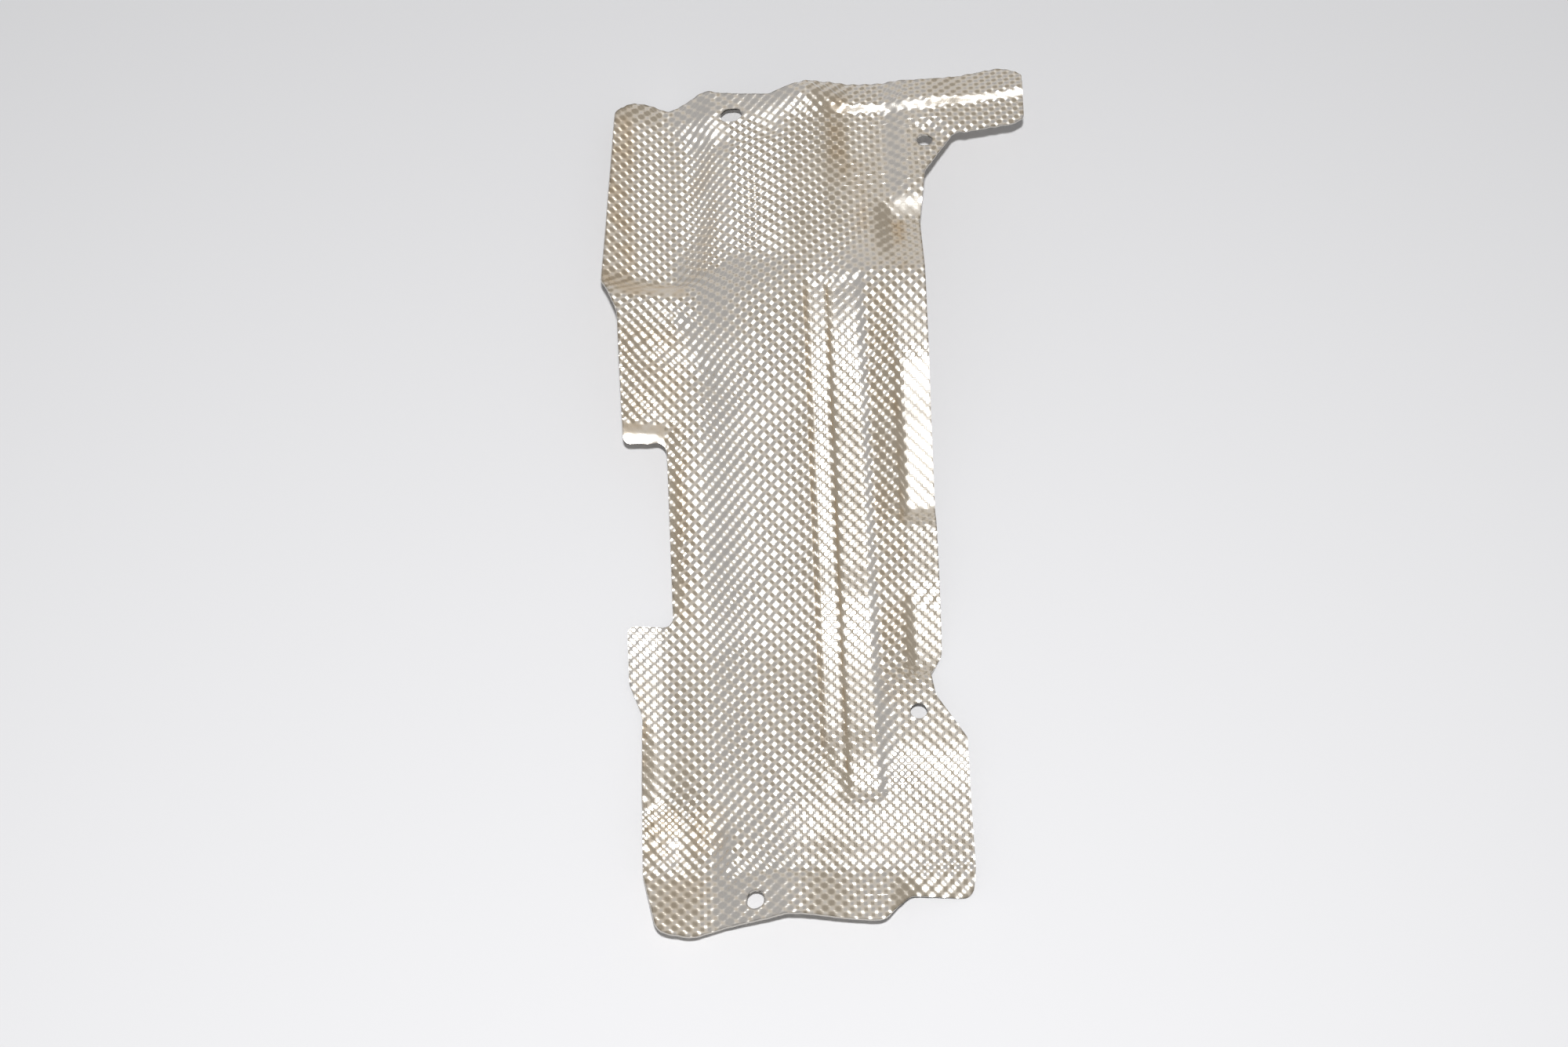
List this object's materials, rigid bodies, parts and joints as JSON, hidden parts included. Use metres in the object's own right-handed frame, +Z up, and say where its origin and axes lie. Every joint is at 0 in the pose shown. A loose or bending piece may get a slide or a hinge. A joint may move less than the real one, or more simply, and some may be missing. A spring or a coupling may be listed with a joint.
{
  "type": "heat shield",
  "caption": "Pressed sheet heat shield, embossed all over, with a stepped channel, a notched edge, a side arm and fixing holes.",
  "frame": {"origin": "middle of the overall box in X and Y, on the surface the shield lies on", "axes": "+Y along the shield towards its arm end, +X across it towards the arm, +Z up from the surface it lies on"},
  "size_m": [0.218, 0.4675, 0.0457],
  "materials": {
    "sheet": "embossed mill-finish sheet with a warm tint"
  },
  "bodies": {
    "root": {"heat_shield": "sheet"}
  },
  "joints": []
}
